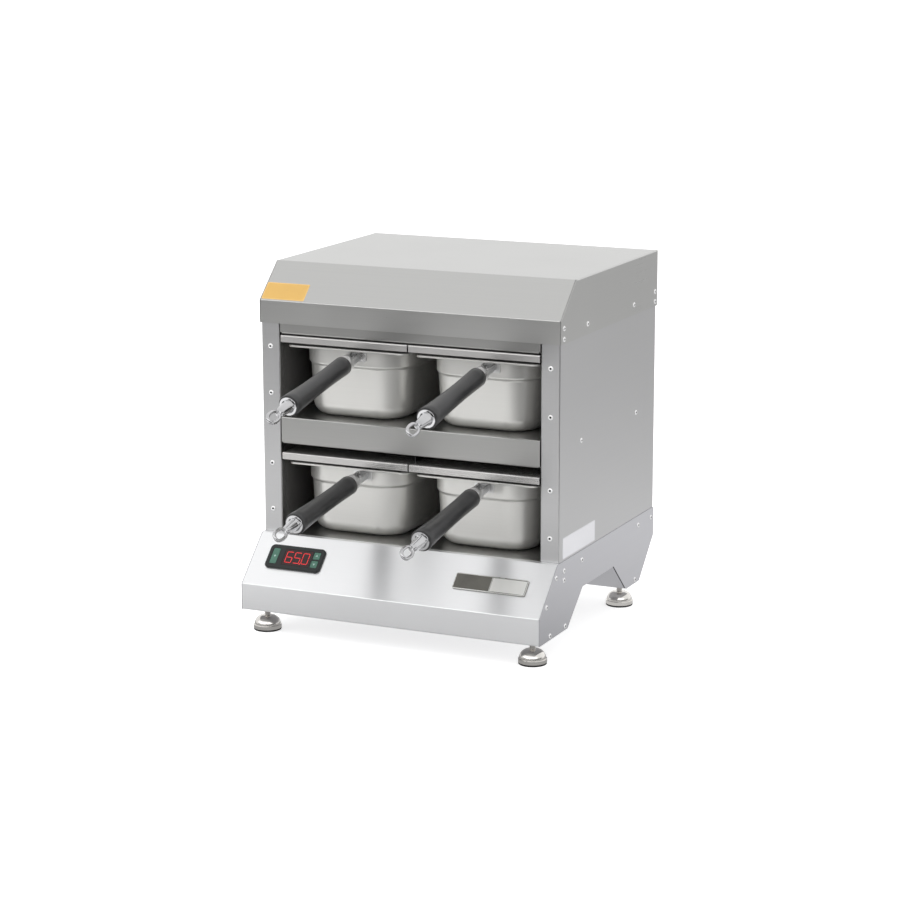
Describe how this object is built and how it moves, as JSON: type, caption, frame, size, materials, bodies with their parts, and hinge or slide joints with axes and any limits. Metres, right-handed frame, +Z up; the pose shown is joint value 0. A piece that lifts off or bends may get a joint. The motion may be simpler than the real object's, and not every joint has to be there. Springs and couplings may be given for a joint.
{
  "type": "heated holding cabinet",
  "caption": "Countertop heated holding cabinet: shelves of long-handled food pans under sliding covers, a sloped control panel and levelling feet.",
  "frame": {"origin": "on the floor, under the middle of the whole cabinet's box, with the pans pushed in", "axes": "+Z up, -Y the way the pan handles and the control panel face, +X to the right as seen from the front"},
  "size_m": [0.4024, 0.5472, 0.4509],
  "materials": {
    "stainless_sheet": "brushed",
    "chamber_sheet": "satin",
    "pan_steel": "satin",
    "handle_chrome": "polished",
    "grip_plastic": "satin",
    "foot_chrome": "polished",
    "foot_rubber": "matte",
    "zinc_steel": "zinc plated",
    "rivet_metal": "satin",
    "controller_plastic": "satin",
    "window_plastic": "gloss",
    "key_plastic": "satin",
    "insulation_wool": "fibrous",
    "element_sheath": "heat stained",
    "probe_steel": "satin",
    "limiter_plastic": "matte",
    "terminal_plastic": "matte",
    "gland_plastic": "satin"
  },
  "bodies": {
    "cabinet": {"base_bottom": "stainless_sheet", "base_front_panel": "stainless_sheet", "base_side_left": "stainless_sheet", "base_side_right": "stainless_sheet", "body_side_left": "stainless_sheet", "body_side_right": "stainless_sheet", "cable_gland": "gland_plastic", "ceiling_panel": "chamber_sheet", "chamber_liner": "chamber_sheet", "controller_clips": "zinc_steel", "controller_housing": "controller_plastic", "controller_window": "window_plastic", "cover_centre_rails": "chamber_sheet", "cover_ledges": "chamber_sheet", "foot_nuts": "zinc_steel", "front_rivets": "rivet_metal", "heating_element_bottom": "element_sheath", "heating_element_middle": "element_sheath", "heating_element_top": "element_sheath", "hood_shell": "stainless_sheet", "insulation_rear": "insulation_wool", "insulation_sides": "insulation_wool", "insulation_top": "insulation_wool", "lower_tray": "stainless_sheet", "rear_panel": "stainless_sheet", "rear_screws": "zinc_steel", "safety_thermostat": "limiter_plastic", "side_rivets": "rivet_metal", "temperature_probe": "probe_steel", "terminal_block": "terminal_plastic", "upper_tray": "stainless_sheet", "upper_tray_underside": "chamber_sheet"},
    "upper_left_pan": {"pan_upper_left": "pan_steel", "handle_upper_left": "handle_chrome", "grip_upper_left": "grip_plastic"},
    "upper_right_pan": {"pan_upper_right": "pan_steel", "handle_upper_right": "handle_chrome", "grip_upper_right": "grip_plastic"},
    "lower_left_pan": {"pan_lower_left": "pan_steel", "handle_lower_left": "handle_chrome", "grip_lower_left": "grip_plastic"},
    "lower_right_pan": {"pan_lower_right": "pan_steel", "handle_lower_right": "handle_chrome", "grip_lower_right": "grip_plastic"},
    "upper_left_cover": {"cover_upper_left": "stainless_sheet"},
    "upper_right_cover": {"cover_upper_right": "stainless_sheet"},
    "lower_left_cover": {"cover_lower_left": "stainless_sheet"},
    "lower_right_cover": {"cover_lower_right": "stainless_sheet"},
    "front_left_foot": {"foot_front_left": "foot_chrome", "foot_pad_front_left": "foot_rubber"},
    "front_right_foot": {"foot_front_right": "foot_chrome", "foot_pad_front_right": "foot_rubber"},
    "rear_left_foot": {"foot_rear_left": "foot_chrome", "foot_pad_rear_left": "foot_rubber"},
    "rear_right_foot": {"foot_rear_right": "foot_chrome", "foot_pad_rear_right": "foot_rubber"},
    "set_key": {"controller_set_key": "key_plastic"},
    "up_key": {"controller_up_key": "key_plastic"},
    "down_key": {"controller_down_key": "key_plastic"}
  },
  "joints": [
    {"name": "upper_left_pan_slide", "type": "slide", "parent": "cabinet", "child": "upper_left_pan", "axis": [0, -1, 0], "range_m": [0, 0.28]},
    {"name": "upper_right_pan_slide", "type": "slide", "parent": "cabinet", "child": "upper_right_pan", "axis": [0, -1, 0], "range_m": [0, 0.28]},
    {"name": "lower_left_pan_slide", "type": "slide", "parent": "cabinet", "child": "lower_left_pan", "axis": [0, -1, 0], "range_m": [0, 0.28]},
    {"name": "lower_right_pan_slide", "type": "slide", "parent": "cabinet", "child": "lower_right_pan", "axis": [0, -1, 0], "range_m": [0, 0.28]},
    {"name": "upper_left_cover_slide", "type": "slide", "parent": "cabinet", "child": "upper_left_cover", "axis": [0, -1, 0], "range_m": [0, 0.26]},
    {"name": "upper_right_cover_slide", "type": "slide", "parent": "cabinet", "child": "upper_right_cover", "axis": [0, -1, 0], "range_m": [0, 0.26]},
    {"name": "lower_left_cover_slide", "type": "slide", "parent": "cabinet", "child": "lower_left_cover", "axis": [0, -1, 0], "range_m": [0, 0.26]},
    {"name": "lower_right_cover_slide", "type": "slide", "parent": "cabinet", "child": "lower_right_cover", "axis": [0, -1, 0], "range_m": [0, 0.26]},
    {"name": "front_left_foot_height", "type": "slide", "parent": "cabinet", "child": "front_left_foot", "axis": [0, 0, -1], "range_m": [0, 0.012]},
    {"name": "front_right_foot_height", "type": "slide", "parent": "cabinet", "child": "front_right_foot", "axis": [0, 0, -1], "range_m": [0, 0.012]},
    {"name": "rear_left_foot_height", "type": "slide", "parent": "cabinet", "child": "rear_left_foot", "axis": [0, 0, -1], "range_m": [0, 0.012]},
    {"name": "rear_right_foot_height", "type": "slide", "parent": "cabinet", "child": "rear_right_foot", "axis": [0, 0, -1], "range_m": [0, 0.012]},
    {"name": "set_key_press", "type": "slide", "parent": "cabinet", "child": "set_key", "axis": [0, 0.6966, -0.7175], "range_m": [0, 0.0008], "stiffness_N_per_m": 500},
    {"name": "up_key_press", "type": "slide", "parent": "cabinet", "child": "up_key", "axis": [0, 0.6966, -0.7175], "range_m": [0, 0.0008], "stiffness_N_per_m": 500},
    {"name": "down_key_press", "type": "slide", "parent": "cabinet", "child": "down_key", "axis": [0, 0.6966, -0.7175], "range_m": [0, 0.0008], "stiffness_N_per_m": 500}
  ]
}
